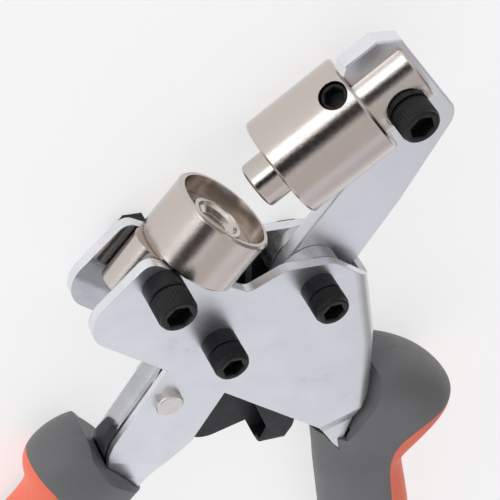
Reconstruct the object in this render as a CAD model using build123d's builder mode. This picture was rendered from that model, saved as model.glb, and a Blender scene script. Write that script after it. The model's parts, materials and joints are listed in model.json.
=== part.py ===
from build123d import *
import os
from math import cos, radians, sin

# Snap setter pliers, millimetres.  The tool lies flat: its plates are parallel to XY, the jaws
# point along +Y, the handles along -Y, and +Z is the side that carries the screw heads.
# All places below are measured from the main pivot, in the mid-plane of the plates.

# --- placing of the tool in its own frame: plan centre of the box, on the resting surface
PIVOT_X = -12.194
PIVOT_Y = 36.652
JAW_RADIUS = 12.2
TOOL = Plane(origin=(PIVOT_X, PIVOT_Y, JAW_RADIUS))

# --- pivots and screws in plan
MAIN_PIVOT = (0.0, 0.0)
ARM_PIVOT = (22.8, 12.9)
DIE_SCREW = (-19.0, 22.2)
LINK_RIVET = (-7.2, -21.6)
LINK_PIN = (28.0, -28.5)

# --- sheet metal
FRAME_PLATE = 2.5
FRAME_GAP = 10.6
FRAME_INSIDE = FRAME_GAP / 2
FRAME_OUTSIDE = FRAME_INSIDE + FRAME_PLATE
ARM_PLATE = 3.5
LINK_PLATE = 1.2
LINK_OUTSIDE = 3.2
LEVER_PLATE = 1.5
LEVER_OUTSIDE = 5.0
LEVER_GAP = 1.1
TANG_OUTSIDE = 6.2
TANG_INSIDE = TANG_OUTSIDE - FRAME_PLATE
TANG_SLOPE = 5.0
BEND_INSIDE = 2.0
BEND_OUTSIDE = BEND_INSIDE + FRAME_PLATE

# --- screws (M5 socket head) and running fits
SCREW_SHANK = 5.0
SCREW_HOLE = 5.3
SMALL_HEAD = (8.5, 5.0, 4.6)
LARGE_HEAD = (9.2, 5.9, 5.2)
COLLAR_HEIGHT = 3.8
CLAMP_COLLAR_HEIGHT = 4.3
SOCKET_DEPTH = 2.8
BUSH_RADIUS = 4.5
RUNNING_FIT = 0.06
NUT_FLATS = 8.0
NUT_HEIGHT = 3.6

# --- jaws: both tools share one line through the closed jaws, at JAW_ARM from the arm pivot
JAW_ARM = 32.8
DIE_ANGLE = 62.2
ARM_TRAVEL = 17.4
PUNCH_ANGLE = DIE_ANGLE - ARM_TRAVEL
SHANK_RADIUS = 8.8
DIE_FACE = 7.3
DIE_LENGTH = 13.9
DIE_SHANK = 12.8
DIE_SHANK_OFFSET = 10.0
CUP_RADIUS = 10.9
CUP_DEPTH = 6.5
PUNCH_FACE = 12.1
PUNCH_LENGTH = 23.3
PUNCH_SHANK = 13.2
PIN_RADIUS = 5.5
PIN_OUT = 6.7

# --- handles: a place along each handle is (s, t), s away from the jaws, t outwards
FIXED_HANDLE = (45.0, -46.0)
FIXED_ANGLE = -70.0
MOVING_HANDLE = (-9.5, -47.0)
MOVING_ANGLE = -118.0
GRIP_HALF_DEPTH = 11.6
GRIP_ROUND = 5.0


def along(angle, distance):
    """Plan offset of a distance in a direction."""
    return (distance * cos(radians(angle)), distance * sin(radians(angle)))


def jaw_point(angle, distance, side=0.0):
    """Plan place on the jaw line of this angle, side being the offset to its left."""
    foot_x = ARM_PIVOT[0] - (JAW_ARM + side) * sin(radians(angle))
    foot_y = ARM_PIVOT[1] + (JAW_ARM + side) * cos(radians(angle))
    step = along(angle, distance)
    return (foot_x + step[0], foot_y + step[1])


def jaw_plane(angle, distance):
    """Plane across the jaw line; its local x lies in plan to the left, its y points up."""
    place = jaw_point(angle, distance)
    return Plane(
        origin=(PIVOT_X + place[0], PIVOT_Y + place[1], JAW_RADIUS),
        x_dir=(-sin(radians(angle)), cos(radians(angle)), 0),
        z_dir=(cos(radians(angle)), sin(radians(angle)), 0),
    )


def fixed_place(s, t):
    """Plan place on the fixed handle."""
    down = along(FIXED_ANGLE, s)
    out = along(FIXED_ANGLE + 90, t)
    return (FIXED_HANDLE[0] + down[0] + out[0], FIXED_HANDLE[1] + down[1] + out[1])


def moving_place(s, t):
    """Plan place on the moving handle."""
    down = along(MOVING_ANGLE, s)
    out = along(MOVING_ANGLE - 90, t)
    return (MOVING_HANDLE[0] + down[0] + out[0], MOVING_HANDLE[1] + down[1] + out[1])


def finish(piece, name):
    """Label a piece and write it."""
    piece.part.label = name
    export_step(piece.part, f"parts/{name}.step")


os.makedirs("parts", exist_ok=True)

# =====================================================================================
# Frame: one sheet folded into a channel, with its web on the right and a tang in the grip
# =====================================================================================
DIE_BACK = DIE_FACE - DIE_LENGTH
EDGE_GAP = 0.2
frame_outline = [
    (-36.8, 10.1),
    jaw_point(DIE_ANGLE, DIE_BACK - EDGE_GAP, 15.6),
    jaw_point(DIE_ANGLE, DIE_BACK - EDGE_GAP, -15.8),
    (13.0, 20.0),
    (25.5, 20.0),
    (38.6, 11.6),
    (46.6, -8.6),
    (51.6, -28.5),
    (50.0, -34.0),
    (49.2, -49.6),
    fixed_place(11, 7),
    fixed_place(90, 7),
    fixed_place(90, 1.5),
    fixed_place(10, 1.5),
    fixed_place(5.5, -0.5),
    (38.5, -41.3),
]
frame_rounds = {0: 8.5, 1: 3.0, 2: 2.5, 3: 5.0, 4: 7.0}
frame_room = [
    (-45.0, 45.0),
    (60.0, 45.0),
    (60.0, 11.5),
    (36.9, 11.5),
    (44.0, -8.6),
    (48.5, -26.5),
    (60.0, -30.0),
    (60.0, -33.9),
    (-45.0, -80.9),
]
tang_room = [
    (60.0, -33.0),
    (60.0, -44.0),
    fixed_place(12, 4.5),
    fixed_place(95, 4.5),
    fixed_place(95, -12),
    (-45.0, -80.0),
]


def taper(start, end, top, drop, length):
    """Slope both outer faces down by drop, from a line in plan to its right, on the open part."""
    line = Vector(end[0] - start[0], end[1] - start[1], 0).normalized()
    right = Vector(line.Y, -line.X, 0)
    origin = TOOL.from_local_coords(Vector(start[0], start[1], 0)) - line * 30
    with BuildSketch(Plane(origin, x_dir=right, z_dir=line)) as wedge:
        with BuildLine() as wedge_edge:
            Polyline(
                (0, top), (length, top - drop), (150, top - drop), (150, top + 5), (0, top + 5), close=True
            )
        make_face(wedge_edge.edges())
        mirror(about=Plane.XZ)
    extrude(wedge.sketch, amount=60, mode=Mode.SUBTRACT)


def round_corners(outline, rounds):
    """Round the numbered corners of the outline in the sketch that is open."""
    for index, radius in rounds.items():
        corner = Vector(*outline[index])
        fillet(vertices().sort_by_distance(corner)[0], radius)


with BuildPart() as frame_channel:
    with BuildSketch(TOOL.offset(-FRAME_OUTSIDE)):
        with BuildLine():
            Polyline(*frame_outline, close=True)
        make_face()
        round_corners(frame_outline, frame_rounds)
    extrude(amount=2 * FRAME_OUTSIDE)
    web_corners = frame_channel.edges().filter_by(
        lambda edge: edge.center().X > PIVOT_X + 39 and edge.center().Y > PIVOT_Y - 26
    )
    fillet(web_corners.filter_by(Axis.Z, reverse=True), BEND_OUTSIDE)
    with BuildSketch(TOOL.offset(-FRAME_INSIDE)):
        with BuildLine():
            Polyline(*frame_room, close=True)
        make_face()
    extrude(amount=FRAME_GAP, mode=Mode.SUBTRACT)
    inner_bends = frame_channel.edges().filter_by(
        lambda edge: edge.center().X > PIVOT_X + 39
        and edge.center().X < PIVOT_X + 47
        and edge.center().Y > PIVOT_Y - 22
        and abs(abs(edge.center().Z - JAW_RADIUS) - FRAME_INSIDE) < 0.01
    )
    fillet(inner_bends, BEND_INSIDE)
    taper((39.0, -41.2), (47.5, -37.4), FRAME_OUTSIDE, FRAME_OUTSIDE - TANG_OUTSIDE, TANG_SLOPE)
    with BuildSketch(TOOL.offset(-TANG_INSIDE)):
        with BuildLine():
            Polyline(*tang_room, close=True)
        make_face()
    extrude(amount=2 * TANG_INSIDE, mode=Mode.SUBTRACT)
    with BuildSketch(TOOL.offset(-FRAME_OUTSIDE)):
        with Locations(MAIN_PIVOT, ARM_PIVOT, DIE_SCREW):
            Circle(SCREW_HOLE / 2)
    extrude(amount=2 * FRAME_OUTSIDE, mode=Mode.SUBTRACT)
finish(frame_channel, "frame_channel")

# =====================================================================================
# Screws through the frame, their collars and nuts, and the bushes they clamp
# =====================================================================================
SCREW_END = -JAW_RADIUS + 0.4


def cap_screw(place, seat, head, end):
    """Socket head cap screw standing on its seat height, its shank reaching down to end."""
    with BuildSketch(TOOL.offset(seat)) as head_disc:
        with Locations(place):
            Circle(head[0] / 2)
    extrude(head_disc.sketch, amount=head[1])
    chamfer(edges().group_by(Axis.Z)[-1], 0.45)
    with BuildSketch(TOOL.offset(seat + head[1] - SOCKET_DEPTH)) as socket:
        with Locations(place):
            RegularPolygon(head[2] / 2, 6, major_radius=False)
    extrude(socket.sketch, amount=SOCKET_DEPTH, mode=Mode.SUBTRACT)
    with BuildSketch(TOOL.offset(end)) as shank:
        with Locations(place):
            Circle(SCREW_SHANK / 2)
    extrude(shank.sketch, amount=seat - end)


with BuildPart() as main_pivot_screw:
    cap_screw(MAIN_PIVOT, FRAME_OUTSIDE + COLLAR_HEIGHT, SMALL_HEAD, SCREW_END)
finish(main_pivot_screw, "main_pivot_screw")

with BuildPart() as arm_pivot_screw:
    cap_screw(ARM_PIVOT, FRAME_OUTSIDE + COLLAR_HEIGHT, SMALL_HEAD, SCREW_END)
finish(arm_pivot_screw, "arm_pivot_screw")

with BuildPart() as die_clamp_screw:
    cap_screw(DIE_SCREW, FRAME_OUTSIDE + CLAMP_COLLAR_HEIGHT, LARGE_HEAD, SCREW_END)
finish(die_clamp_screw, "die_clamp_screw")

with BuildPart() as pivot_collars:
    with BuildSketch(TOOL.offset(FRAME_OUTSIDE)):
        with Locations(MAIN_PIVOT, ARM_PIVOT):
            Circle(SMALL_HEAD[0] / 2)
            Circle(SCREW_HOLE / 2, mode=Mode.SUBTRACT)
    extrude(amount=COLLAR_HEIGHT)
    chamfer(pivot_collars.edges().group_by(Axis.Z)[-1], 0.3)
finish(pivot_collars, "pivot_collars")

with BuildPart() as die_clamp_collar:
    with BuildSketch(TOOL.offset(FRAME_OUTSIDE)):
        with Locations(DIE_SCREW):
            Circle(LARGE_HEAD[0] / 2)
            Circle(SCREW_HOLE / 2, mode=Mode.SUBTRACT)
    extrude(amount=CLAMP_COLLAR_HEIGHT)
    chamfer(die_clamp_collar.edges().group_by(Axis.Z)[-1], 0.3)
finish(die_clamp_collar, "die_clamp_collar")

with BuildPart() as rear_nuts:
    with BuildSketch(TOOL.offset(-FRAME_OUTSIDE - NUT_HEIGHT)):
        with Locations(MAIN_PIVOT, ARM_PIVOT, DIE_SCREW):
            RegularPolygon(NUT_FLATS / 2, 6, major_radius=False)
            Circle(SCREW_SHANK / 2 + 0.02, mode=Mode.SUBTRACT)
    extrude(amount=NUT_HEIGHT)
    chamfer(rear_nuts.edges().group_by(Axis.Z)[0].filter_by(GeomType.LINE), 0.35)
finish(rear_nuts, "rear_nuts")

with BuildPart() as main_pivot_bush:
    with BuildSketch(TOOL.offset(-FRAME_INSIDE)):
        with Locations(MAIN_PIVOT):
            Circle(BUSH_RADIUS)
            Circle(SCREW_SHANK / 2 + 0.1, mode=Mode.SUBTRACT)
    extrude(amount=FRAME_GAP)
finish(main_pivot_bush, "main_pivot_bush")

with BuildPart() as arm_pivot_bush:
    with BuildSketch(TOOL.offset(-FRAME_INSIDE)):
        with Locations(ARM_PIVOT):
            Circle(BUSH_RADIUS)
            Circle(SCREW_SHANK / 2 + 0.1, mode=Mode.SUBTRACT)
    extrude(amount=FRAME_GAP)
finish(arm_pivot_bush, "arm_pivot_bush")

SPACER_RADIUS = 7.5
SIDE_PLAY = 0.1
SPACER_START = ARM_PLATE / 2 + SIDE_PLAY

with BuildPart() as arm_spacers:
    for level in (SPACER_START, -FRAME_INSIDE):
        with BuildSketch(TOOL.offset(level)):
            with Locations(ARM_PIVOT):
                Circle(SPACER_RADIUS)
                Circle(BUSH_RADIUS + 0.05, mode=Mode.SUBTRACT)
        extrude(amount=FRAME_INSIDE - SPACER_START)
finish(arm_spacers, "arm_spacers")

# =====================================================================================
# Die side: a turned cup on a round shank set off its axis, held between the plates, and its insert
# =====================================================================================
die_base = jaw_plane(DIE_ANGLE, DIE_BACK)
die_front = jaw_plane(DIE_ANGLE, DIE_FACE)
INSERT_TOP = 2.5
INSERT_BASE = 1.8
INSERT_RING = (7.0, 6.2)
DISH_RIM = 5.3
DISH_FLOOR = (3.4, 4.3)

with BuildPart() as die_holder:
    with BuildSketch(die_base):
        Circle(JAW_RADIUS)
    extrude(amount=DIE_LENGTH)
    chamfer(die_holder.edges().filter_by(GeomType.CIRCLE), 0.5)
    with BuildSketch(die_front.offset(-CUP_DEPTH)):
        Circle(CUP_RADIUS)
    extrude(amount=CUP_DEPTH, mode=Mode.SUBTRACT)
    with BuildSketch(die_base.offset(-DIE_SHANK)):
        with Locations((DIE_SHANK_OFFSET, 0)):
            Circle(FRAME_INSIDE - 0.02)
    extrude(amount=DIE_SHANK)
    with BuildSketch(TOOL.offset(-JAW_RADIUS)):
        with Locations(DIE_SCREW):
            Circle(SCREW_HOLE / 2)
    extrude(amount=2 * JAW_RADIUS, mode=Mode.SUBTRACT)
finish(die_holder, "die_holder")

with BuildPart() as die_insert:
    with BuildSketch(Plane(die_front.origin, x_dir=die_front.x_dir, z_dir=(0, 0, -1))):
        with BuildLine():
            Polyline(
                (0, -CUP_DEPTH),
                (CUP_RADIUS - 0.05, -CUP_DEPTH),
                (CUP_RADIUS - 0.05, INSERT_BASE - CUP_DEPTH),
                (INSERT_RING[0], INSERT_BASE - CUP_DEPTH),
                (INSERT_RING[1], -INSERT_TOP),
                (DISH_RIM, -INSERT_TOP),
                (DISH_RIM - 0.5, -INSERT_TOP - 0.9),
                (DISH_FLOOR[0], -DISH_FLOOR[1]),
                (0, -DISH_FLOOR[1]),
                close=True,
            )
        make_face()
    revolve(axis=Axis(die_front.origin, die_front.z_dir))
finish(die_insert, "die_insert")

# =====================================================================================
# Punch side: the arm, the slotted holder on it, the pin and their screws
# =====================================================================================
PUNCH_BACK = PUNCH_FACE + PUNCH_LENGTH
ARM_OUTER = PUNCH_BACK + PUNCH_SHANK + 1.4
ARM_TOP = 14.6
TAIL_RADIUS = 5.3
PIN_JOINT_RADIUS = 2.5
arm_outline = [
    jaw_point(PUNCH_ANGLE, PUNCH_BACK, ARM_TOP),
    jaw_point(PUNCH_ANGLE, ARM_OUTER, ARM_TOP),
    (50.5, 56.3),
    (43.1, 30.9),
    (37.2, 15.0),
    (33.2, 3.0),
    (33.3, -28.5),
    (22.7, -28.5),
    (14.8, 8.0),
    (16.4, 16.0),
    (24.5, 34.3),
    (28.4, 43.2),
    jaw_point(PUNCH_ANGLE, PUNCH_BACK, -13.2),
]
arm_rounds = {2: 6.0, 3: 20.0, 4: 4.0, 5: 8.0, 8: 5.0, 9: 8.0, 11: 6.0}

with BuildPart() as punch_arm:
    with BuildSketch(TOOL.offset(-ARM_PLATE / 2)):
        with BuildLine():
            Polyline(*arm_outline, close=True)
        make_face()
        round_corners(arm_outline, arm_rounds)
        for corner, cut in ((arm_outline[0], 1.8), (arm_outline[1], 4.5)):
            chamfer(vertices().sort_by_distance(Vector(*corner))[0], cut)
        with Locations(LINK_PIN):
            Circle(TAIL_RADIUS)
            Circle(PIN_JOINT_RADIUS, mode=Mode.SUBTRACT)
        with Locations(ARM_PIVOT):
            Circle(BUSH_RADIUS + RUNNING_FIT, mode=Mode.SUBTRACT)
        with Locations(jaw_point(PUNCH_ANGLE, PUNCH_BACK + 6.7)):
            Circle(SCREW_HOLE / 2, mode=Mode.SUBTRACT)
    extrude(amount=ARM_PLATE)
    chamfer(punch_arm.faces().sort_by(Axis.Z)[-1].outer_wire().edges(), 0.35)
finish(punch_arm, "punch_arm")

PIN_DEPTH = 20.5
SET_SCREW_RADIUS = 3.2
SET_SCREW_TILT = 14.5
SET_SCREW_SOCKET = 3.4
SET_SCREW_ALONG = PUNCH_BACK - 3.9
CLAMP_SEAT = 8.6
punch_back = jaw_plane(PUNCH_ANGLE, PUNCH_BACK)
punch_front = jaw_plane(PUNCH_ANGLE, PUNCH_FACE)
clamp_place = jaw_point(PUNCH_ANGLE, PUNCH_BACK + 6.7)
set_screw_axis = jaw_plane(PUNCH_ANGLE, SET_SCREW_ALONG)
set_screw_plane = Plane(
    origin=set_screw_axis.origin,
    x_dir=set_screw_axis.z_dir,
    z_dir=set_screw_axis.from_local_coords(
        Vector(cos(radians(SET_SCREW_TILT)), sin(radians(SET_SCREW_TILT)), 0)
    )
    - set_screw_axis.origin,
)

with BuildPart() as punch_holder:
    with BuildSketch(punch_front):
        Circle(JAW_RADIUS)
    extrude(amount=PUNCH_LENGTH)
    chamfer(punch_holder.edges().filter_by(GeomType.CIRCLE), 0.5)
    with BuildSketch(punch_back.offset(-0.5)):
        Circle(SHANK_RADIUS)
    extrude(amount=PUNCH_SHANK + 0.5)
    shank_end = punch_holder.faces().sort_by(Axis(punch_back.origin, punch_back.z_dir))[-1]
    chamfer(shank_end.edges(), 0.4)
    with BuildSketch(punch_back):
        Rectangle(4 * SHANK_RADIUS, ARM_PLATE + 0.04)
    extrude(amount=PUNCH_SHANK + 1, mode=Mode.SUBTRACT)
    with BuildSketch(punch_front):
        Circle(PIN_RADIUS + 0.03)
    extrude(amount=PIN_DEPTH + 0.3, mode=Mode.SUBTRACT)
    with BuildSketch(set_screw_plane):
        Circle(SET_SCREW_RADIUS + 0.05)
    extrude(amount=2 * JAW_RADIUS, mode=Mode.SUBTRACT)
    with BuildSketch(TOOL.offset(-JAW_RADIUS)):
        with Locations(clamp_place):
            Circle(SCREW_SHANK / 2 + 0.05)
    extrude(amount=2 * JAW_RADIUS, mode=Mode.SUBTRACT)
    with BuildSketch(TOOL.offset(CLAMP_SEAT)):
        with Locations(clamp_place):
            Circle(LARGE_HEAD[0] / 2 + 0.5)
    extrude(amount=JAW_RADIUS, mode=Mode.SUBTRACT)
finish(punch_holder, "punch_holder")

with BuildPart() as punch_pin:
    with BuildSketch(punch_front.offset(-PIN_OUT)):
        Circle(PIN_RADIUS)
    extrude(amount=PIN_OUT + PIN_DEPTH)
    tip = punch_pin.faces().sort_by(Axis(punch_front.origin, punch_front.z_dir))[0]
    fillet(tip.edges(), 0.9)
finish(punch_pin, "punch_pin")

with BuildPart() as punch_set_screw:
    with BuildSketch(set_screw_plane.offset(PIN_RADIUS + 0.05)):
        Circle(SET_SCREW_RADIUS)
    extrude(amount=JAW_RADIUS - PIN_RADIUS - 0.9)
    outer_face = punch_set_screw.faces().sort_by(
        Axis(set_screw_plane.origin, set_screw_plane.z_dir)
    )[-1]
    chamfer(outer_face.edges(), 0.4)
    with BuildSketch(set_screw_plane.offset(JAW_RADIUS - 3.4)):
        RegularPolygon(SET_SCREW_SOCKET / 2, 6, major_radius=False)
    extrude(amount=4, mode=Mode.SUBTRACT)
finish(punch_set_screw, "punch_set_screw")

WASHER_HEIGHT = 1.2
with BuildPart() as punch_clamp_washer:
    with BuildSketch(TOOL.offset(CLAMP_SEAT)):
        with Locations(clamp_place):
            Circle(LARGE_HEAD[0] / 2 + 0.1)
            Circle(SCREW_HOLE / 2, mode=Mode.SUBTRACT)
    extrude(amount=WASHER_HEIGHT)
finish(punch_clamp_washer, "punch_clamp_washer")

with BuildPart() as punch_clamp_screw:
    cap_screw(clamp_place, CLAMP_SEAT + WASHER_HEIGHT, LARGE_HEAD, -CLAMP_SEAT)
finish(punch_clamp_screw, "punch_clamp_screw")

with BuildPart() as link_pin:
    with BuildSketch(TOOL.offset(-LINK_OUTSIDE - 0.1)):
        with Locations(LINK_PIN):
            Circle(PIN_JOINT_RADIUS - 0.01)
    extrude(amount=2 * LINK_OUTSIDE + 0.2)
    for level in (LINK_OUTSIDE + 0.1, -LINK_OUTSIDE - 1.1):
        with BuildSketch(TOOL.offset(level)):
            with Locations(LINK_PIN):
                Circle(PIN_JOINT_RADIUS + 1.3)
        extrude(amount=1.0)
finish(link_pin, "link_pin")

# =====================================================================================
# Moving lever: a front plate and a channel behind it, joined by the link rivet
# =====================================================================================
LEVER_EYE = 9.5
RIVET_RADIUS = 2.5
RIVET_HEAD = (3.5, 1.9)
RIVET_REAR_HEIGHT = 1.4
lever_left = [
    (-9.4, -10.0),
    (-18.8, -35.1),
    (-19.3, -38.5),
    moving_place(3, 8.6),
    moving_place(9, 6),
    moving_place(88, 6),
]
lever_right = [
    moving_place(88, -3.5),
    moving_place(10, -3.5),
    (-7.6, -52.5),
    (-5.1, -48.3),
    (2.9, -39.2),
    (8.6, -22.0),
    (8.9, -3.0),
]
lever_outline = [(-8.4, -4.4)] + lever_left + lever_right


def lever_blade():
    """Flat outline shared by both sides of the lever, in the sketch that is open."""
    with BuildLine() as blade_edge:
        Polyline(*lever_outline, close=True)
    make_face(blade_edge.edges())
    with Locations(MAIN_PIVOT):
        Circle(LEVER_EYE)
        Circle(BUSH_RADIUS + RUNNING_FIT, mode=Mode.SUBTRACT)
    with Locations(LINK_RIVET):
        Circle(RIVET_RADIUS + 0.02, mode=Mode.SUBTRACT)


with BuildPart() as lever_front_plate:
    with BuildSketch(TOOL.offset(LEVER_OUTSIDE - LEVER_PLATE)):
        lever_blade()
    extrude(amount=LEVER_PLATE)
    taper((-15.6, -42.1), (-6.0, -45.1), LEVER_OUTSIDE, 0.6, 6.0)
finish(lever_front_plate, "lever_front_plate")

WEB_TOP = LEVER_OUTSIDE - LEVER_PLATE - LEVER_GAP
WEB_ROUND = 2.6
lever_room = [
    (-7.8, -10.0),
    (-30.0, -10.0),
    (-30.0, 30.0),
    (60.0, 30.0),
    (60.0, -150.0),
    moving_place(95, 4.4),
    moving_place(9, 4.4),
    moving_place(3, 7.0),
    (-17.7, -38.5),
    (-17.2, -35.1),
]
with BuildPart() as lever_channel:
    with BuildSketch(TOOL.offset(-LEVER_OUTSIDE)):
        lever_blade()
    extrude(amount=LEVER_OUTSIDE + WEB_TOP)
    web_edges = lever_channel.edges().filter_by(
        lambda edge: edge.center().X < PIVOT_X - 13 and edge.center().Y > PIVOT_Y - 36
    )
    fillet(web_edges.filter_by(Axis.Z, reverse=True), WEB_ROUND)
    with BuildSketch(TOOL.offset(LEVER_PLATE - LEVER_OUTSIDE)):
        with BuildLine():
            Polyline(*lever_room, close=True)
        make_face()
    extrude(amount=2 * LEVER_OUTSIDE, mode=Mode.SUBTRACT)
finish(lever_channel, "lever_channel")

with BuildPart() as lever_rivet:
    with BuildSketch(TOOL.offset(-LEVER_OUTSIDE)):
        with Locations(LINK_RIVET):
            Circle(RIVET_RADIUS)
    extrude(amount=2 * LEVER_OUTSIDE)
    for level, height in (
        (LEVER_OUTSIDE, RIVET_HEAD[1]),
        (-LEVER_OUTSIDE - RIVET_REAR_HEIGHT, RIVET_REAR_HEIGHT),
    ):
        with BuildSketch(TOOL.offset(level)):
            with Locations(LINK_RIVET):
                Circle(RIVET_HEAD[0])
        extrude(amount=height)
    fillet(lever_rivet.edges().group_by(Axis.Z)[-1], 0.6)
finish(lever_rivet, "lever_rivet")

with BuildPart() as rivet_spacer:
    with BuildSketch(TOOL.offset(-LINK_OUTSIDE + LINK_PLATE + SIDE_PLAY)):
        with Locations(LINK_RIVET):
            Circle(RIVET_RADIUS + 1.3)
            Circle(RIVET_RADIUS + 0.03, mode=Mode.SUBTRACT)
    extrude(amount=LEVER_OUTSIDE - LEVER_PLATE + LINK_OUTSIDE - LINK_PLATE - 2 * SIDE_PLAY)
finish(rivet_spacer, "rivet_spacer")

# Return spring: a torsion coil round the main bush, its legs on the lever and in the frame
WIRE = 1.2
COIL_PITCH = 1.35
COIL_RADIUS = 5.7
COIL_TURNS = 3.037
COIL_START = 11.0
COIL_BASE = -2.2
LEG_LENGTHS = (12.3, 16.0)
coil_plane = Plane(
    origin=(PIVOT_X, PIVOT_Y, JAW_RADIUS + COIL_BASE),
    x_dir=(cos(radians(COIL_START)), sin(radians(COIL_START)), 0),
    z_dir=(0, 0, 1),
)

with BuildPart() as return_spring:
    with BuildLine(coil_plane) as coil_path:
        coil = Helix(COIL_PITCH, COIL_TURNS * COIL_PITCH, COIL_RADIUS)
        Line(coil @ 0 - (coil % 0) * LEG_LENGTHS[0], coil @ 0)
        Line(coil @ 1, coil @ 1 + (coil % 1) * LEG_LENGTHS[1])
    spring_wire = coil_path.wire()
    with BuildSketch(Plane(origin=spring_wire @ 0, z_dir=spring_wire % 0)):
        Circle(WIRE / 2)
    sweep(path=spring_wire)
finish(return_spring, "return_spring")

# =====================================================================================
# Drive link: black stamped channel from the lever rivet to the tail of the arm
# =====================================================================================
EYE_RADIUS = 3.9
OPEN_PIVOT_PLAY = 0.5
link_outline = [
    (-8.5, -17.5),
    (22.0, -21.5),
    (33.0, -23.6),
    (35.0, -28.0),
    (35.0, -45.0),
    (33.5, -49.5),
    (25.5, -49.5),
    (22.5, -44.4),
    (11.0, -48.6),
    (1.0, -42.6),
    (-10.6, -23.2),
]
link_rounds = {2: 3.0, 4: 3.0, 8: 7.0, 9: 7.0}
LINK_FOLD = 2.4
link_room = [
    (-20.0, 0.0),
    (60.0, 0.0),
    (60.0, -48.3),
    (24.0, -48.3),
    (23.5, -60.0),
    (-20.0, -60.0),
]
link_front_room = [
    (-20.0, 0.0),
    (18.0, 0.0),
    (19.8, -32.0),
    (26.5, -43.6),
    (24.0, -60.0),
    (-20.0, -60.0),
]

with BuildPart() as drive_link:
    with BuildSketch(TOOL.offset(-LINK_OUTSIDE)):
        with BuildLine():
            Polyline(*link_outline, close=True)
        make_face()
        round_corners(link_outline, link_rounds)
        with Locations(LINK_RIVET):
            Circle(EYE_RADIUS)
    extrude(amount=2 * LINK_OUTSIDE)
    fold_edges = drive_link.edges().filter_by(
        lambda edge: edge.center().Y < PIVOT_Y - 47 and edge.center().X > PIVOT_X + 24
    )
    fillet(fold_edges.filter_by(Axis.Z, reverse=True), LINK_FOLD)
    with BuildSketch(TOOL.offset(-LINK_OUTSIDE + LINK_PLATE)):
        with BuildLine():
            Polyline(*link_room, close=True)
        make_face()
    extrude(amount=2 * (LINK_OUTSIDE - LINK_PLATE), mode=Mode.SUBTRACT)
    with BuildSketch(TOOL.offset(0)):
        with BuildLine():
            Polyline(*link_front_room, close=True)
        make_face()
    extrude(amount=LINK_OUTSIDE + 1, mode=Mode.SUBTRACT)
    with BuildSketch(TOOL.offset(-LINK_OUTSIDE)):
        with Locations(LINK_RIVET):
            Circle(RIVET_RADIUS + RUNNING_FIT)
        with Locations(LINK_PIN):
            Circle(PIN_JOINT_RADIUS + OPEN_PIVOT_PLAY)
    extrude(amount=2 * LINK_OUTSIDE, mode=Mode.SUBTRACT)
finish(drive_link, "drive_link")

# =====================================================================================
# Grips: a grey body with a guard and mouth, and an orange inlay on the outer side
# =====================================================================================
fixed_outline = [
    (-12.5, -3.8),
    (-12.5, 21.5),
    (-6.0, 30.0),
    (0.5, 34.5),
    (8.0, 27.0),
    (16.0, 19.8),
    (62.0, 22.0),
    (113.0, 19.0),
    (115.0, -2.0),
    (62.0, -4.2),
]
fixed_rounds = {0: 6.0, 1: 7.0, 2: 7.0, 3: 5.5, 4: 8.0, 5: 9.0, 6: 40.0, 7: 8.0, 8: 8.0, 9: 40.0}
fixed_mouth = [(-30, -20), (2.5, -20), (2.5, -3), (5.6, 3.2), (-9.2, 10.2), (-14, 13), (-30, 13)]
fixed_tang_room = [(0, -3.2), (0, 4.0), (11, 7.3), (91, 7.3), (91, -0.8), (5.7, -0.8)]
moving_outline = [
    (-10.0, -7.0),
    (-10.0, 12.0),
    (1.0, 19.5),
    (10.0, 24.6),
    (18.0, 17.8),
    (26.0, 19.0),
    (62.0, 20.5),
    (113.0, 17.0),
    (115.0, -4.0),
    (62.0, -7.0),
]
moving_rounds = {0: 6.0, 1: 5.5, 2: 6.5, 3: 6.5, 4: 6.0, 5: 12.0, 6: 40.0, 7: 8.0, 8: 8.0, 9: 40.0}
moving_mouth = [(-30, -20), (10.4, -20), (10.4, -7.4), (4.5, 8.0), (-0.5, 19.0), (-3, 26), (-30, 26)]
moving_tang_room = [
    (-8.0, -3.8),
    (-8.0, 16.0),
    (-2.6, 12.9),
    (3.1, 8.9),
    (9.2, 6.2),
    (89.0, 6.2),
    (89.0, -3.8),
]
inlay_edge = [
    (3.0, 40.0),
    (4.5, 27.0),
    (7.9, 21.2),
    (14.3, 13.9),
    (20.0, 12.2),
    (98.0, 12.2),
    (130.0, 3.0),
    (130.0, 40.0),
]


def placed(place, outline):
    """Plan places of an outline given on a handle."""
    return [place(s, t) for s, t in outline]


def prism(points, depth, mode):
    """Straight prism of an outline, from -depth to depth about the mid-plane."""
    with BuildSketch(TOOL.offset(-depth)) as section:
        with BuildLine():
            Polyline(*points, close=True)
        make_face()
    extrude(section.sketch, amount=2 * depth, mode=mode)


def grip_body(place, outline, rounds):
    """Rounded outer shape of a whole grip."""
    points = placed(place, outline)
    with BuildSketch(TOOL.offset(-GRIP_HALF_DEPTH)) as section:
        with BuildLine():
            Polyline(*points, close=True)
        make_face()
        round_corners(points, rounds)
    extrude(section.sketch, amount=2 * GRIP_HALF_DEPTH)
    ends = faces().sort_by(Axis.Z)
    fillet(ends[0].edges() + ends[-1].edges(), GRIP_ROUND)


def grip_core(place, outline, rounds, mouth, tang_room, tang_half):
    """Grey part of a grip: the body without its mouth, the tang's pocket and the inlay."""
    grip_body(place, outline, rounds)
    prism(placed(place, mouth), 2 * GRIP_HALF_DEPTH, Mode.SUBTRACT)
    prism(placed(place, tang_room), tang_half + 0.1, Mode.SUBTRACT)
    prism(placed(place, inlay_edge), 2 * GRIP_HALF_DEPTH, Mode.SUBTRACT)


def grip_inlay(place, outline, rounds):
    """Orange part of a grip: the outer strip of the body."""
    grip_body(place, outline, rounds)
    prism(placed(place, inlay_edge), 2 * GRIP_HALF_DEPTH, Mode.INTERSECT)


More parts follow.
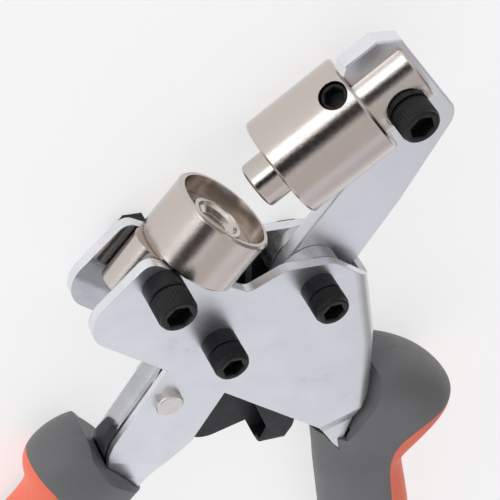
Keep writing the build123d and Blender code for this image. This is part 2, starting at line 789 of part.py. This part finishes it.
with BuildPart() as fixed_grip_core:
    grip_core(
        fixed_place, fixed_outline, fixed_rounds, fixed_mouth, fixed_tang_room, FRAME_OUTSIDE
    )
finish(fixed_grip_core, "fixed_grip_core")

with BuildPart() as fixed_grip_inlay:
    grip_inlay(fixed_place, fixed_outline, fixed_rounds)
finish(fixed_grip_inlay, "fixed_grip_inlay")

with BuildPart() as moving_grip_core:
    grip_core(
        moving_place, moving_outline, moving_rounds, moving_mouth, moving_tang_room, LEVER_OUTSIDE
    )
finish(moving_grip_core, "moving_grip_core")

with BuildPart() as moving_grip_inlay:
    grip_inlay(moving_place, moving_outline, moving_rounds)
finish(moving_grip_inlay, "moving_grip_inlay")
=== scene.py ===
import json
import math

import bmesh
import bpy
from mathutils import Matrix, Vector


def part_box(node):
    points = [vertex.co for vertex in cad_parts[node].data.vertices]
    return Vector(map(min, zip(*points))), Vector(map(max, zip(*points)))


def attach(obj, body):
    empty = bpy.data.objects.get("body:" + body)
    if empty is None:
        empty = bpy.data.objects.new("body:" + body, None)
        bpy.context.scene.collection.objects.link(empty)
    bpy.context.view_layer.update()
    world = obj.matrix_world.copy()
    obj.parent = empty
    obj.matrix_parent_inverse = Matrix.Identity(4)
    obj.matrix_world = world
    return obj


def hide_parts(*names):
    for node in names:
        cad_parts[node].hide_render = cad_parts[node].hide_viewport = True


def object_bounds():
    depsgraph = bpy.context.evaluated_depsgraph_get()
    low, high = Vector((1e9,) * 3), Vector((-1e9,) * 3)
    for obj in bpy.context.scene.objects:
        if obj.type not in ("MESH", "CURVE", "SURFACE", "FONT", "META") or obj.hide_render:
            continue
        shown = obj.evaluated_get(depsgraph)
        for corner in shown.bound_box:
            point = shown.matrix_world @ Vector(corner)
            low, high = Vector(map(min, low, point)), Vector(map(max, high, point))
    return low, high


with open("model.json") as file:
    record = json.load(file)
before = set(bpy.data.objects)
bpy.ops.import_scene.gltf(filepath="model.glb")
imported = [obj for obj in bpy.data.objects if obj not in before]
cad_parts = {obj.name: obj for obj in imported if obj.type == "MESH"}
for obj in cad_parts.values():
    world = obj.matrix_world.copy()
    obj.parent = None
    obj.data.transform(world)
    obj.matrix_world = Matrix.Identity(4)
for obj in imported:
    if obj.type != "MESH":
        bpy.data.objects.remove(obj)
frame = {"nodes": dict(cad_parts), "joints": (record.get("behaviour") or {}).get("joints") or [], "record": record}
cad_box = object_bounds()

MM = 0.001
joints = {joint["name"]: joint for joint in frame["joints"]}
main_pivot = Vector(joints["lever_pivot"]["pos_m"])


def axis_of(mount_name):
    """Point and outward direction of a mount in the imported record."""
    for mount in frame["record"]["mounts"]:
        if mount["name"] == mount_name:
            return Vector(mount["pos_m"]), Vector(mount["axis"]).normalized()
    raise ValueError(mount_name)


punch_point, punch_axis = axis_of("punch_face")
die_point, die_axis = axis_of("die_seat")


# ------------------------------------------------------------------------------------------
# Materials
# ------------------------------------------------------------------------------------------
class Finish:
    """A node material with short ways to add texture, in metres of the object's own space."""

    def __init__(self, name, colour, metallic, roughness, specular=0.5):
        self.material = bpy.data.materials.new(name)
        self.material.use_nodes = True
        self.nodes = self.material.node_tree.nodes
        self.links = self.material.node_tree.links
        self.shader = self.nodes["Principled BSDF"]
        self.shader.inputs["Base Color"].default_value = (*colour, 1)
        self.shader.inputs["Metallic"].default_value = metallic
        self.shader.inputs["Roughness"].default_value = roughness
        self.shader.inputs["Specular IOR Level"].default_value = specular
        self.place = self.nodes.new("ShaderNodeTexCoord").outputs["Object"]

    def node(self, kind, **inputs):
        """New node with some of its inputs set or linked."""
        made = self.nodes.new(kind)
        for key, value in inputs.items():
            socket = made.inputs[key.replace("_", " ")]
            if isinstance(value, bpy.types.NodeSocket):
                self.links.new(value, socket)
            else:
                socket.default_value = value
        return made

    def turned(self, origin, direction):
        """Coordinates with z along a direction and the origin on a given point."""
        turn = direction.to_track_quat("Z", "Y").inverted()
        place = self.node("ShaderNodeVectorMath", Vector=self.place)
        place.operation = "SUBTRACT"
        place.inputs[1].default_value = origin
        spin = self.node("ShaderNodeVectorRotate", Vector=place.outputs[0])
        spin.rotation_type = "EULER_XYZ"
        spin.inputs["Rotation"].default_value = turn.to_euler()
        return spin.outputs["Vector"]

    def scaled(self, vector, scale):
        """Coordinates stretched by a factor on each axis."""
        made = self.node("ShaderNodeVectorMath", Vector=vector)
        made.operation = "MULTIPLY"
        made.inputs[1].default_value = scale
        return made.outputs[0]

    def noise(self, vector, scale, detail=3.0, rough=0.55):
        """Noise value from 0 to 1."""
        made = self.node("ShaderNodeTexNoise", Vector=vector, Scale=scale, Detail=detail)
        made.inputs["Roughness"].default_value = rough
        return made.outputs["Fac"]

    def math(self, operation, first, second=0.0):
        """Arithmetic on values or sockets."""
        made = self.nodes.new("ShaderNodeMath")
        made.operation = operation
        for socket, value in zip(made.inputs, (first, second)):
            if isinstance(value, bpy.types.NodeSocket):
                self.links.new(value, socket)
            else:
                socket.default_value = value
        return made.outputs[0]

    def remap(self, value, low, high, to_low, to_high):
        """Value mapped from one range onto another, held at the ends."""
        made = self.node("ShaderNodeMapRange", Value=value)
        made.inputs["From Min"].default_value = low
        made.inputs["From Max"].default_value = high
        made.inputs["To Min"].default_value = to_low
        made.inputs["To Max"].default_value = to_high
        return made.outputs["Result"]

    def tint(self, factor, colours):
        """Colour ramp of evenly spaced colours, as the base colour."""
        ramp = self.node("ShaderNodeValToRGB", Fac=factor)
        ramp.color_ramp.elements[0].color = (*colours[0], 1)
        ramp.color_ramp.elements[1].color = (*colours[-1], 1)
        for index, colour in enumerate(colours[1:-1], start=1):
            element = ramp.color_ramp.elements.new(index / (len(colours) - 1))
            element.color = (*colour, 1)
        self.links.new(ramp.outputs["Color"], self.shader.inputs["Base Color"])

    def roughness(self, value):
        """Roughness from a socket."""
        self.links.new(value, self.shader.inputs["Roughness"])

    def relief(self, *layers, edge=0.0):
        """Bump layers, each (height socket, depth in metres), over softened edges."""
        normal = None
        if edge:
            rounded = self.nodes.new("ShaderNodeBevel")
            rounded.samples = 4
            rounded.inputs["Radius"].default_value = edge
            normal = rounded.outputs["Normal"]
        for height, depth in layers:
            bump = self.nodes.new("ShaderNodeBump")
            bump.inputs["Distance"].default_value = depth
            bump.inputs["Strength"].default_value = 1.0
            self.links.new(height, bump.inputs["Height"])
            if normal is not None:
                self.links.new(normal, bump.inputs["Normal"])
            normal = bump.outputs["Normal"]
        if normal is not None:
            self.links.new(normal, self.shader.inputs["Normal"])


def shade(colour, factor):
    """A colour made lighter or darker."""
    return tuple(min(1.0, channel * factor) for channel in colour)


def zinc_plate(name, grain_angle, colour=(0.83, 0.84, 0.875), inner_half_gap=None):
    """Bright zinc plating on rolled sheet, satin outside and mirror-like in the gap it encloses, with painted
    shade darkening the faces inside that gap.
    """
    finish = Finish(name, colour, 1.0, 0.4)
    spin = finish.node("ShaderNodeVectorRotate", Vector=finish.place)
    spin.rotation_type = "Z_AXIS"
    spin.inputs["Angle"].default_value = math.radians(-grain_angle)
    grain_place = finish.scaled(spin.outputs["Vector"], (90, 2400, 2400))
    grain = finish.noise(grain_place, 1.0, detail=4)
    clouds = finish.noise(finish.place, 90, detail=4, rough=0.6)
    pores = finish.noise(finish.place, 1500, detail=2)
    tones = [shade(colour, 0.9), colour, shade(colour, 1.04)]
    mixed = finish.math("ADD", finish.math("MULTIPLY", clouds, 0.6), finish.math("MULTIPLY", grain, 0.4))
    satin = finish.remap(mixed, 0.3, 0.7, 0.3, 0.44)
    if inner_half_gap is None:
        finish.tint(clouds, tones)
        finish.roughness(satin)
    else:
        height = finish.node("ShaderNodeSeparateXYZ", Vector=finish.place).outputs["Z"]
        off_middle = finish.math("ABSOLUTE", finish.math("SUBTRACT", height, main_pivot.z))
        # mask: 0.3 on faces inside the gap between the plates, 1.0 outside it; it lowers the roughness there and
        # also drives the painted shade below
        outside = finish.remap(off_middle, inner_half_gap, inner_half_gap + 0.3 * MM, 0.3, 1.0)
        finish.roughness(finish.math("MULTIPLY", satin, outside))
        # painted shade: inside the gap the colour falls towards a copy of the zinc at 0.4 of its brightness
        finish.tint(finish.math("MULTIPLY", clouds, outside), [shade(colour, 0.4), *tones])
    finish.relief((grain, 0.000006), (clouds, 0.00006), (pores, 0.000004), edge=0.0003)
    return finish.material


def turned_nickel(name, origin, direction, colour=(0.6, 0.54, 0.5)):
    """Satin nickel on a turned piece: fine rings round its axis."""
    finish = Finish(name, colour, 1.0, 0.3)
    place = finish.turned(origin, direction)
    parts = finish.node("ShaderNodeSeparateXYZ", Vector=place)
    across = finish.node("ShaderNodeCombineXYZ", X=parts.outputs["X"], Y=parts.outputs["Y"])
    radius = finish.node("ShaderNodeVectorMath", Vector=across.outputs[0])
    radius.operation = "LENGTH"
    rings_place = finish.node(
        "ShaderNodeCombineXYZ", X=parts.outputs["Z"], Y=radius.outputs["Value"], Z=0.0
    )
    rings = finish.noise(rings_place.outputs[0], 4200, detail=3, rough=0.6)
    streaks = finish.noise(finish.scaled(place, (420, 420, 6500)), 1.0, detail=3, rough=0.65)
    clouds = finish.noise(finish.place, 160, detail=3)
    finish.tint(clouds, [shade(colour, 0.94), colour, shade(colour, 1.03)])
    speckle = finish.noise(finish.scaled(place, (1500, 1500, 4200)), 1.0, detail=3, rough=0.6)
    finish.roughness(finish.remap(streaks, 0.3, 0.7, 0.1, 0.2))
    finish.relief((rings, 0.000003), (streaks, 0.000005), (speckle, 0.00003), edge=0.0003)
    return finish.material


def black_oxide(name, colour=(0.007, 0.0072, 0.0085), roughness=0.36):
    """Blackened steel with a light oil sheen, worn a little paler in places."""
    finish = Finish(name, colour, 0.0, roughness, specular=0.3)
    speckle = finish.noise(finish.place, 1800, detail=3)
    clouds = finish.noise(finish.place, 220, detail=3)
    finish.tint(clouds, [shade(colour, 0.7), colour, shade(colour, 1.7)])
    finish.roughness(finish.remap(speckle, 0.3, 0.7, roughness * 0.8, roughness * 1.3))
    finish.relief((speckle, 0.00001), edge=0.00025)
    return finish.material


def plain_steel(name, colour, roughness):
    """Ground or drawn steel."""
    finish = Finish(name, colour, 1.0, roughness)
    speckle = finish.noise(finish.place, 1400, detail=3)
    clouds = finish.noise(finish.place, 200, detail=3)
    finish.tint(clouds, [shade(colour, 0.85), colour, shade(colour, 1.08)])
    finish.roughness(finish.remap(speckle, 0.3, 0.7, roughness * 0.7, roughness * 1.3))
    finish.relief((speckle, 0.000008), edge=0.0002)
    return finish.material


def soft_grip(name, colour, roughness=0.5):
    """Moulded soft plastic with a fine spark-eroded texture."""
    finish = Finish(name, colour, 0.0, roughness, specular=0.4)
    texture = finish.noise(finish.place, 2200, detail=4, rough=0.6)
    dust = finish.noise(finish.place, 420, detail=4)
    clouds = finish.noise(finish.place, 45, detail=2)
    finish.tint(
        finish.math("ADD", finish.math("MULTIPLY", clouds, 0.7), finish.math("MULTIPLY", dust, 0.3)),
        [shade(colour, 0.9), colour, shade(colour, 1.1)],
    )
    finish.roughness(finish.remap(texture, 0.3, 0.7, roughness * 0.85, roughness * 1.2))
    height = finish.node("ShaderNodeSeparateXYZ", Vector=finish.place).outputs["Z"]
    off_middle = finish.math("ABSOLUTE", finish.math("SUBTRACT", height, main_pivot.z))
    seam = finish.remap(off_middle, 0.05 * MM, 0.2 * MM, 1.0, 0.0)
    finish.relief((texture, 0.00003), (dust, 0.00002), (seam, 0.00008), edge=0.0003)
    return finish.material


plate_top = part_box("frame_channel")[1].z
FRAME_PLATE = 2.5 * MM
LEVER_PLATE = 1.5 * MM
frame_half_gap = plate_top - main_pivot.z - FRAME_PLATE
lever_half_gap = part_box("lever_front_plate")[1].z - main_pivot.z - LEVER_PLATE
frame_metal = zinc_plate("bright_zinc_frame", -34, inner_half_gap=frame_half_gap)
lever_metal = zinc_plate("bright_zinc_lever", -110, inner_half_gap=lever_half_gap)
arm_metal = zinc_plate("bright_zinc_arm", 62)
grip_grey = soft_grip("grip_grey", (0.15, 0.15, 0.155))
grip_orange = soft_grip("grip_orange", (0.95, 0.19, 0.11))
black = black_oxide("black_oxide")
link_black = black_oxide("black_link", (0.018, 0.0185, 0.022), 0.42)

node_finish = {
    "frame_channel": frame_metal,
    "lever_front_plate": lever_metal,
    "lever_channel": lever_metal,
    "punch_arm": arm_metal,
    "punch_holder": turned_nickel("turned_punch_holder", punch_point, punch_axis),
    "punch_pin": turned_nickel("turned_punch_pin", punch_point, punch_axis),
    "die_holder": turned_nickel("turned_die_holder", die_point, die_axis),
    "die_insert": turned_nickel("turned_die_insert", die_point, die_axis, (0.66, 0.62, 0.57)),
    "lever_rivet": plain_steel("nickel_rivet", (0.74, 0.70, 0.67), 0.35),
    "main_pivot_bush": plain_steel("ground_steel", (0.56, 0.56, 0.57), 0.3),
    "return_spring": plain_steel("spring_wire", (0.42, 0.42, 0.43), 0.35),
    "fixed_grip_core": grip_grey,
    "moving_grip_core": grip_grey,
    "fixed_grip_inlay": grip_orange,
    "moving_grip_inlay": grip_orange,
    "drive_link": link_black,
}
for shared in ("arm_pivot_bush", "arm_spacers", "rivet_spacer", "link_pin"):
    node_finish[shared] = node_finish["main_pivot_bush"]
for fastener in (
    "main_pivot_screw",
    "arm_pivot_screw",
    "die_clamp_screw",
    "pivot_collars",
    "die_clamp_collar",
    "rear_nuts",
    "punch_set_screw",
    "punch_clamp_screw",
    "punch_clamp_washer",
):
    node_finish[fastener] = black
for node_name, material in node_finish.items():
    frame["nodes"][node_name].material_slots[0].material = material


# ------------------------------------------------------------------------------------------
# Grips and screws in mesh code
# ------------------------------------------------------------------------------------------
class Handle:
    """Places along one handle: s away from the jaws, t outwards, z up, all in millimetres."""

    def __init__(self, start, angle, side):
        self.start = main_pivot + Vector((*start, 0)) * MM
        self.down = Vector((math.cos(math.radians(angle)), math.sin(math.radians(angle)), 0))
        outward = math.radians(angle + 90 * side)
        self.out = Vector((math.cos(outward), math.sin(outward), 0))

    def place(self, s, t, z):
        """Point in metres."""
        return self.start + (self.down * s + self.out * t) * MM + Vector((0, 0, z * MM))


fixed_handle = Handle((45.0, -46.0), -70.0, 1)
moving_handle = Handle((-9.5, -47.0), -118.0, -1)

# half of a grip's section from its inner edge to its outer edge: share of width, share of depth
GRIP_SECTION = [
    (0.0, 0.0),
    (0.03, 0.36),
    (0.23, 0.76),
    (0.45, 0.97),
    (0.68, 1.02),
    (0.87, 0.84),
    (0.985, 0.42),
    (1.0, 0.0),
]
RIDGE_POINT = 2
RIDGE_CREASE = 0.45

# stations along a grip: s, inner t, outer t, half depth
fixed_stations = [
    (-16.8, 8.0, 17.0, 6.5),
    (-16.0, 2.0, 21.4, 9.0),
    (-13.0, -3.4, 25.0, 10.6),
    (-8.5, -4.2, 29.2, 11.4),
    (-3.7, -4.2, 32.6, 11.6),
    (1.0, -4.2, 35.0, 11.6),
    (5.5, -4.2, 36.8, 11.6),
    (9.5, -4.2, 36.8, 11.5),
    (13.0, -4.2, 33.6, 11.4),
    (16.5, -4.2, 28.2, 11.3),
    (20.0, -4.2, 22.4, 11.2),
    (24.0, -4.2, 20.4, 11.2),
    (31.0, -4.2, 20.5, 11.3),
    (42.0, -4.3, 21.4, 11.4),
    (62.0, -4.4, 22.2, 11.6),
    (90.0, -3.6, 20.8, 11.5),
    (107.0, -2.6, 19.4, 11.3),
    (112.5, -1.0, 17.6, 9.8),
    (113.8, 3.4, 13.6, 6.0),
]
moving_stations = [
    (-5.8, 6.0, 14.0, 6.5),
    (-5.2, -1.0, 18.5, 9.0),
    (-3.6, -6.5, 22.6, 10.6),
    (-0.5, -7.4, 25.6, 11.4),
    (3.5, -7.4, 27.6, 11.6),
    (7.5, -7.4, 28.0, 11.6),
    (11.0, -7.4, 26.8, 11.5),
    (14.0, -7.4, 24.0, 11.4),
    (17.0, -7.4, 21.0, 11.3),
    (21.0, -7.4, 19.2, 11.2),
    (28.0, -7.4, 19.2, 11.2),
    (42.0, -7.4, 20.2, 11.4),
    (62.0, -7.4, 21.0, 11.6),
    (90.0, -6.0, 19.0, 11.5),
    (107.0, -4.8, 17.6, 11.3),
    (112.4, -2.8, 15.2, 9.8),
    (113.7, 1.4, 11.6, 6.0),
]
fixed_mouth = [(-30, -20), (2.5, -20), (2.5, -3), (5.4, 3.2), (-9.2, 11.0), (-17, 14), (-30, 16)]
moving_mouth = [
    (-30, -20),
    (8, -20),
    (7.6, -9),
    (4.2, -0.4),
    (1.8, 6.6),
    (0.3, 12.3),
    (-3.2, 19.5),
    (-30, 24),
]
fixed_tang_room = [(-8, -8), (0, 4), (11, 7.3), (91, 7.3), (91, 1.3), (10, 1.3), (5.7, -0.8), (0, -3.2)]
moving_tang_room = [(-8, -3.8), (-8, 16), (-2.6, 12.9), (3.1, 8.9), (9.2, 6.2), (89, 6.2), (89, -3.8)]
inlay_border = [
    (7.5, 42.0),
    (7.8, 27.0),
    (8.4, 24.0),
    (9.6, 20.8),
    (11.8, 17.4),
    (14.8, 15.0),
    (18.5, 13.7),
    (24.0, 13.2),
    (98.0, 13.2),
    (130.0, 5.0),
    (130.0, 42.0),
]
CUTTER_HALF = 20.0
ROOM_SLACK = 0.1
FRAME_TANG_HALF = 6.2
LEVER_TANG_HALF = (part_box("lever_front_plate")[1].z - main_pivot.z) / MM
SHARP_ANGLE = 32

# cap screws: lengths in metres, socket sizes half across the flats
SCREW_SHANK = 2.48 * MM
SMALL_SOCKET = 2.3 * MM
LARGE_SOCKET = 2.6 * MM
SOCKET_DEPTH = 2.9 * MM
SOCKET_CHAMFER = 0.28 * MM
KNURL_DEPTH = 0.26 * MM
HEAD_CHAMFER = 0.3 * MM

# punch set screw: its lean from the plane of the tool, and places along its own axis
SET_SCREW_TILT = 14.5
SET_SCREW_FROM_TIP = 26.1 * MM
SET_SCREW_RADIUS = 3.18 * MM
SET_SCREW_FOOT = 5.6 * MM
SET_SCREW_TOP = 11.2 * MM
SET_SCREW_SOCKET = 2.0 * MM
SET_SCREW_SOCKET_FLOOR = 7.6 * MM


def new_object(name, mesh):
    """Object of a mesh, linked to the scene."""
    made = bpy.data.objects.new(name, mesh)
    bpy.context.scene.collection.objects.link(made)
    return made


def settled(piece):
    """Piece with its modifiers applied."""
    shape = piece.evaluated_get(bpy.context.evaluated_depsgraph_get())
    mesh = bpy.data.meshes.new_from_object(shape)
    piece.modifiers.clear()
    piece.data = mesh
    return piece


def bridged(name, rings):
    """Closed mesh through rings of equal length, with a flat cap at each end."""
    form = bmesh.new()
    loops = [[form.verts.new(point) for point in ring] for ring in rings]
    for first, second in zip(loops, loops[1:]):
        for index in range(len(first)):
            following = (index + 1) % len(first)
            form.faces.new((first[index], first[following], second[following], second[index]))
    form.faces.new(list(reversed(loops[0])))
    form.faces.new(loops[-1])
    bmesh.ops.recalc_face_normals(form, faces=form.faces)
    mesh = bpy.data.meshes.new(name)
    form.to_mesh(mesh)
    form.free()
    return mesh


def grip_form(name, handle, stations):
    """Whole grip as a smooth lofted body with a soft ridge along its inner side."""
    upper = GRIP_SECTION
    lower = [(share, -depth) for share, depth in reversed(upper[1:-1])]
    rings = [
        [handle.place(s, inner + (outer - inner) * share, half * depth) for share, depth in upper + lower]
        for s, inner, outer, half in stations
    ]
    mesh = bridged(name, rings)
    ring_length = len(rings[0])
    ridges = (RIDGE_POINT, ring_length - RIDGE_POINT)
    crease = mesh.attributes.new("crease_edge", "FLOAT", "EDGE")
    for edge in mesh.edges:
        first, second = edge.vertices
        along_grip = first % ring_length == second % ring_length
        if along_grip and first % ring_length in ridges:
            crease.data[edge.index].value = RIDGE_CREASE
    piece = new_object(name, mesh)
    rounding = piece.modifiers.new("rounding", "SUBSURF")
    rounding.levels = rounding.render_levels = 3
    return settled(piece)


def cutter(handle, outline, half):
    """Prism of an outline on a handle, cut through the mid-plane."""
    rings = [[handle.place(s, t, z) for s, t in outline] for z in (-half, half)]
    return new_object("cutter", bridged("cutter", rings))


def carve(piece, tool, operation):
    """Boolean of a piece with a tool."""
    cut = piece.modifiers.new("cut", "BOOLEAN")
    cut.operation = operation
    cut.solver = "EXACT"
    cut.object = tool
    return settled(piece)


def copy_of(piece, name):
    """Second object with its own mesh."""
    return new_object(name, piece.data.copy())


def dressed(piece, material, body, slot, *nodes):
    """Smooth a finished piece, give it its material and hand it to its body."""
    piece.data.shade_smooth()
    piece.data.set_sharp_from_angle(angle=math.radians(SHARP_ANGLE))
    piece.data.materials.clear()
    piece.data.materials.append(material)
    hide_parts(*nodes)
    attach(piece, body)


def make_grip(side, handle, stations, mouth, tang_room, tang_half, body):
    """Grey grip body and its orange inlay for one handle."""
    core = grip_form(f"{side}_grip_body", handle, stations)
    tools = [cutter(handle, mouth, CUTTER_HALF), cutter(handle, tang_room, tang_half + ROOM_SLACK)]
    for tool in tools:
        carve(core, tool, "DIFFERENCE")
    border = cutter(handle, inlay_border, CUTTER_HALF)
    inlay = copy_of(core, f"{side}_grip_strip")
    carve(inlay, border, "INTERSECT")
    carve(core, border, "DIFFERENCE")
    for tool in (*tools, border):
        bpy.data.objects.remove(tool)
    dressed(core, grip_grey, body, "grip_grey", f"{side}_grip_core")
    dressed(inlay, grip_orange, body, "grip_orange", f"{side}_grip_inlay")


def turned_rings(base, axis, profile, points=144, teeth=36):
    """Rings round an axis from rows of height, radius, knurl depth and whether it is a hexagon."""
    stand = axis.to_track_quat("Z", "Y")
    rings = []
    for height, radius, knurl, hexagon in profile:
        ring = []
        for index in range(points):
            turn = 2 * math.pi * index / points
            reach = radius - knurl * (0.5 + 0.5 * math.cos(teeth * turn)) ** 0.6
            if hexagon:
                reach = radius / math.cos((turn % (math.pi / 3)) - math.pi / 6)
            spot = Vector((reach * math.cos(turn), reach * math.sin(turn), height))
            ring.append(base + stand @ spot)
        rings.append(ring)
    return rings


def knurled_screw(node, seat_node, half_flats, body):
    """Cap screw with a straight-knurled head and a chamfered hexagon socket."""
    low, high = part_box(node)
    base = Vector(((low.x + high.x) / 2, (low.y + high.y) / 2, low.z))
    top = high.z - low.z
    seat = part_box(seat_node)[1].z - low.z
    head = (high.x - low.x) / 2
    profile = [
        (0.0, 2.3 * MM, 0, False),
        (0.3 * MM, SCREW_SHANK, 0, False),
        (seat, SCREW_SHANK, 0, False),
        (seat, head - 2 * HEAD_CHAMFER, 0, False),
        (seat + HEAD_CHAMFER, head - HEAD_CHAMFER, 0, False),
        (seat + 0.5 * MM, head, KNURL_DEPTH, False),
        (top - 1.0 * MM, head, KNURL_DEPTH, False),
        (top - 0.8 * MM, head - HEAD_CHAMFER, 0, False),
        (top - 0.3 * MM, head - 0.34 * MM, 0, False),
        (top, head - 0.75 * MM, 0, False),
        (top, half_flats + SOCKET_CHAMFER, 0, True),
        (top - 0.25 * MM, half_flats, 0, True),
        (top - SOCKET_DEPTH, half_flats, 0, True),
    ]
    piece = new_object(f"knurled_{node}", bridged(node, turned_rings(base, Vector((0, 0, 1)), profile)))
    dressed(piece, black, body, "screw_black", node)


def set_screw():
    """Socket set screw sunk in the punch holder, with a thin chamfered rim."""
    jaw_direction = -punch_axis
    side = Vector((-jaw_direction.y, jaw_direction.x, 0))
    tilt = math.radians(SET_SCREW_TILT)
    axis = side * math.cos(tilt) + Vector((0, 0, 1)) * math.sin(tilt)
    base = punch_point + jaw_direction * SET_SCREW_FROM_TIP
    profile = [
        (SET_SCREW_FOOT, 2.7 * MM, 0, False),
        (SET_SCREW_FOOT + 0.5 * MM, SET_SCREW_RADIUS, 0, False),
        (SET_SCREW_TOP - 0.5 * MM, SET_SCREW_RADIUS, 0, False),
        (SET_SCREW_TOP, 2.75 * MM, 0, False),
        (SET_SCREW_TOP, SET_SCREW_SOCKET + 0.25 * MM, 0, True),
        (SET_SCREW_TOP - 0.3 * MM, SET_SCREW_SOCKET, 0, True),
        (SET_SCREW_SOCKET_FLOOR, SET_SCREW_SOCKET, 0, True),
    ]
    mesh = bridged("chamfered_set_screw", turned_rings(base, axis, profile))
    piece = new_object("chamfered_set_screw", mesh)
    dressed(piece, black, "arm", "screw_black", "punch_set_screw")


make_grip("fixed", fixed_handle, fixed_stations, fixed_mouth, fixed_tang_room, FRAME_TANG_HALF, "frame")
make_grip(
    "moving", moving_handle, moving_stations, moving_mouth, moving_tang_room, LEVER_TANG_HALF, "lever"
)
knurled_screw("main_pivot_screw", "pivot_collars", SMALL_SOCKET, "frame")
knurled_screw("arm_pivot_screw", "pivot_collars", SMALL_SOCKET, "frame")
knurled_screw("die_clamp_screw", "die_clamp_collar", LARGE_SOCKET, "frame")
knurled_screw("punch_clamp_screw", "punch_clamp_washer", LARGE_SOCKET, "arm")
set_screw()


# ------------------------------------------------------------------------------------------
# Floor, light and camera
# ------------------------------------------------------------------------------------------
# cards in the light tent: direction, angle of the flat part, angle where it has faded, colour
surround_cards = [
    ((0.1, -0.1, 1.0), 25, 50, (0.66, 0.64, 0.63)),
    ((0.42, -0.62, 0.66), 12, 30, (0.84, 0.85, 0.9)),
    ((0.92, 0.0, 0.3), 25, 55, (0.3, 0.28, 0.27)),
    ((-0.79, 0.02, 0.61), 9, 21, (0.07, 0.06, 0.06)),
    ((-0.72, 0.24, 0.63), 9, 21, (0.05, 0.045, 0.045)),
    ((-0.63, 0.44, 0.64), 12, 24, (0.01, 0.01, 0.01)),
    ((0.2, 1.0, 0.15), 15, 35, (0.3, 0.3, 0.32)),
]


def make_floor():
    """Plain pale floor under the tool."""
    mesh = bpy.data.meshes.new("floor")
    half = 3.0
    corners = [(-half, -half, 0), (half, -half, 0), (half, half, 0), (-half, half, 0)]
    mesh.from_pydata(corners, [], [(0, 1, 2, 3)])
    floor = bpy.data.objects.new("floor", mesh)
    bpy.context.scene.collection.objects.link(floor)
    floor.location.z = cad_box[0][2] - 0.0002
    finish = Finish("pale_floor", (0.93, 0.93, 0.935), 0.0, 0.7, specular=0.2)
    finish.tint(finish.noise(finish.place, 30), [(0.36, 0.36, 0.363), (0.38, 0.38, 0.383)])
    finish.shader.inputs["Emission Color"].default_value = (1, 1, 1, 1)
    finish.shader.inputs["Emission Strength"].default_value = 0.66
    floor.data.materials.append(finish.material)


def soft_box(name, place, target, size, power):
    """Rectangular soft light that faces a target."""
    data = bpy.data.lights.new(name, "AREA")
    data.shape = "RECTANGLE"
    data.size, data.size_y = size
    data.energy = power
    light = bpy.data.objects.new(name, data)
    light.location = place
    light.rotation_mode = "QUATERNION"
    light.rotation_quaternion = (Vector(target) - Vector(place)).to_track_quat("-Z", "Y")
    bpy.context.scene.collection.objects.link(light)


def world_patch(nodes, links, direction, inner_degrees, outer_degrees):
    """Mask of the surround round a direction: 1 inside the inner angle, 0 past the outer one."""
    toward = nodes.new("ShaderNodeVectorMath")
    toward.operation = "DOT_PRODUCT"
    links.new(nodes["surround_place"].outputs["Generated"], toward.inputs[0])
    toward.inputs[1].default_value = Vector(direction).normalized()
    mask = nodes.new("ShaderNodeMapRange")
    mask.interpolation_type = "SMOOTHSTEP"
    links.new(toward.outputs["Value"], mask.inputs["Value"])
    mask.inputs["From Min"].default_value = math.cos(math.radians(outer_degrees))
    mask.inputs["From Max"].default_value = math.cos(math.radians(inner_degrees))
    return mask.outputs["Result"]


def make_lights():
    """A pale light tent with dark and grey cards, and a soft box on the left."""
    centre = (cad_box[0] + cad_box[1]) / 2
    soft_box("low_left", centre + Vector((-1.25, 0.9, 0.42)), centre, (1.3, 0.6), 4.5)
    world = bpy.data.worlds.new("surround")
    bpy.context.scene.world = world
    world.use_nodes = True
    nodes, links = world.node_tree.nodes, world.node_tree.links
    place = nodes.new("ShaderNodeTexCoord")
    place.name = "surround_place"
    background = nodes["Background"]
    background.inputs["Strength"].default_value = 1.0
    colour = None
    for direction, inner, outer, card in surround_cards:
        mix = nodes.new("ShaderNodeMix")
        mix.data_type = "RGBA"
        links.new(world_patch(nodes, links, direction, inner, outer), mix.inputs["Factor"])
        if colour is None:
            mix.inputs["A"].default_value = (0.97, 0.98, 1.0, 1)
        else:
            links.new(colour, mix.inputs["A"])
        mix.inputs["B"].default_value = (*card, 1)
        colour = mix.outputs["Result"]
    links.new(colour, background.inputs["Color"])


def make_camera():
    """Camera held over the jaws, looking down along the tool towards its handles."""
    lens_mm = 125.0
    distance = 400 * MM
    right = Vector((0.8809, 0.2182, 0.4199)).normalized()
    up = Vector((0.1411, 0.7259, -0.6732))
    back = right.cross(up).normalized()
    up = back.cross(right)
    aim = main_pivot + Vector((9.5, 16.7, -3.4)) * MM
    data = bpy.data.cameras.new("camera")
    data.lens = lens_mm
    data.sensor_width = 36.0
    data.clip_start = 0.01
    data.clip_end = 20.0
    camera = bpy.data.objects.new("camera", data)
    camera.matrix_world = Matrix.Translation(aim + back * distance) @ Matrix(
        (right, up, back)
    ).transposed().to_4x4()
    bpy.context.scene.collection.objects.link(camera)
    bpy.context.scene.camera = camera


make_floor()
make_lights()
make_camera()
bpy.context.scene.view_settings.view_transform = "Standard"
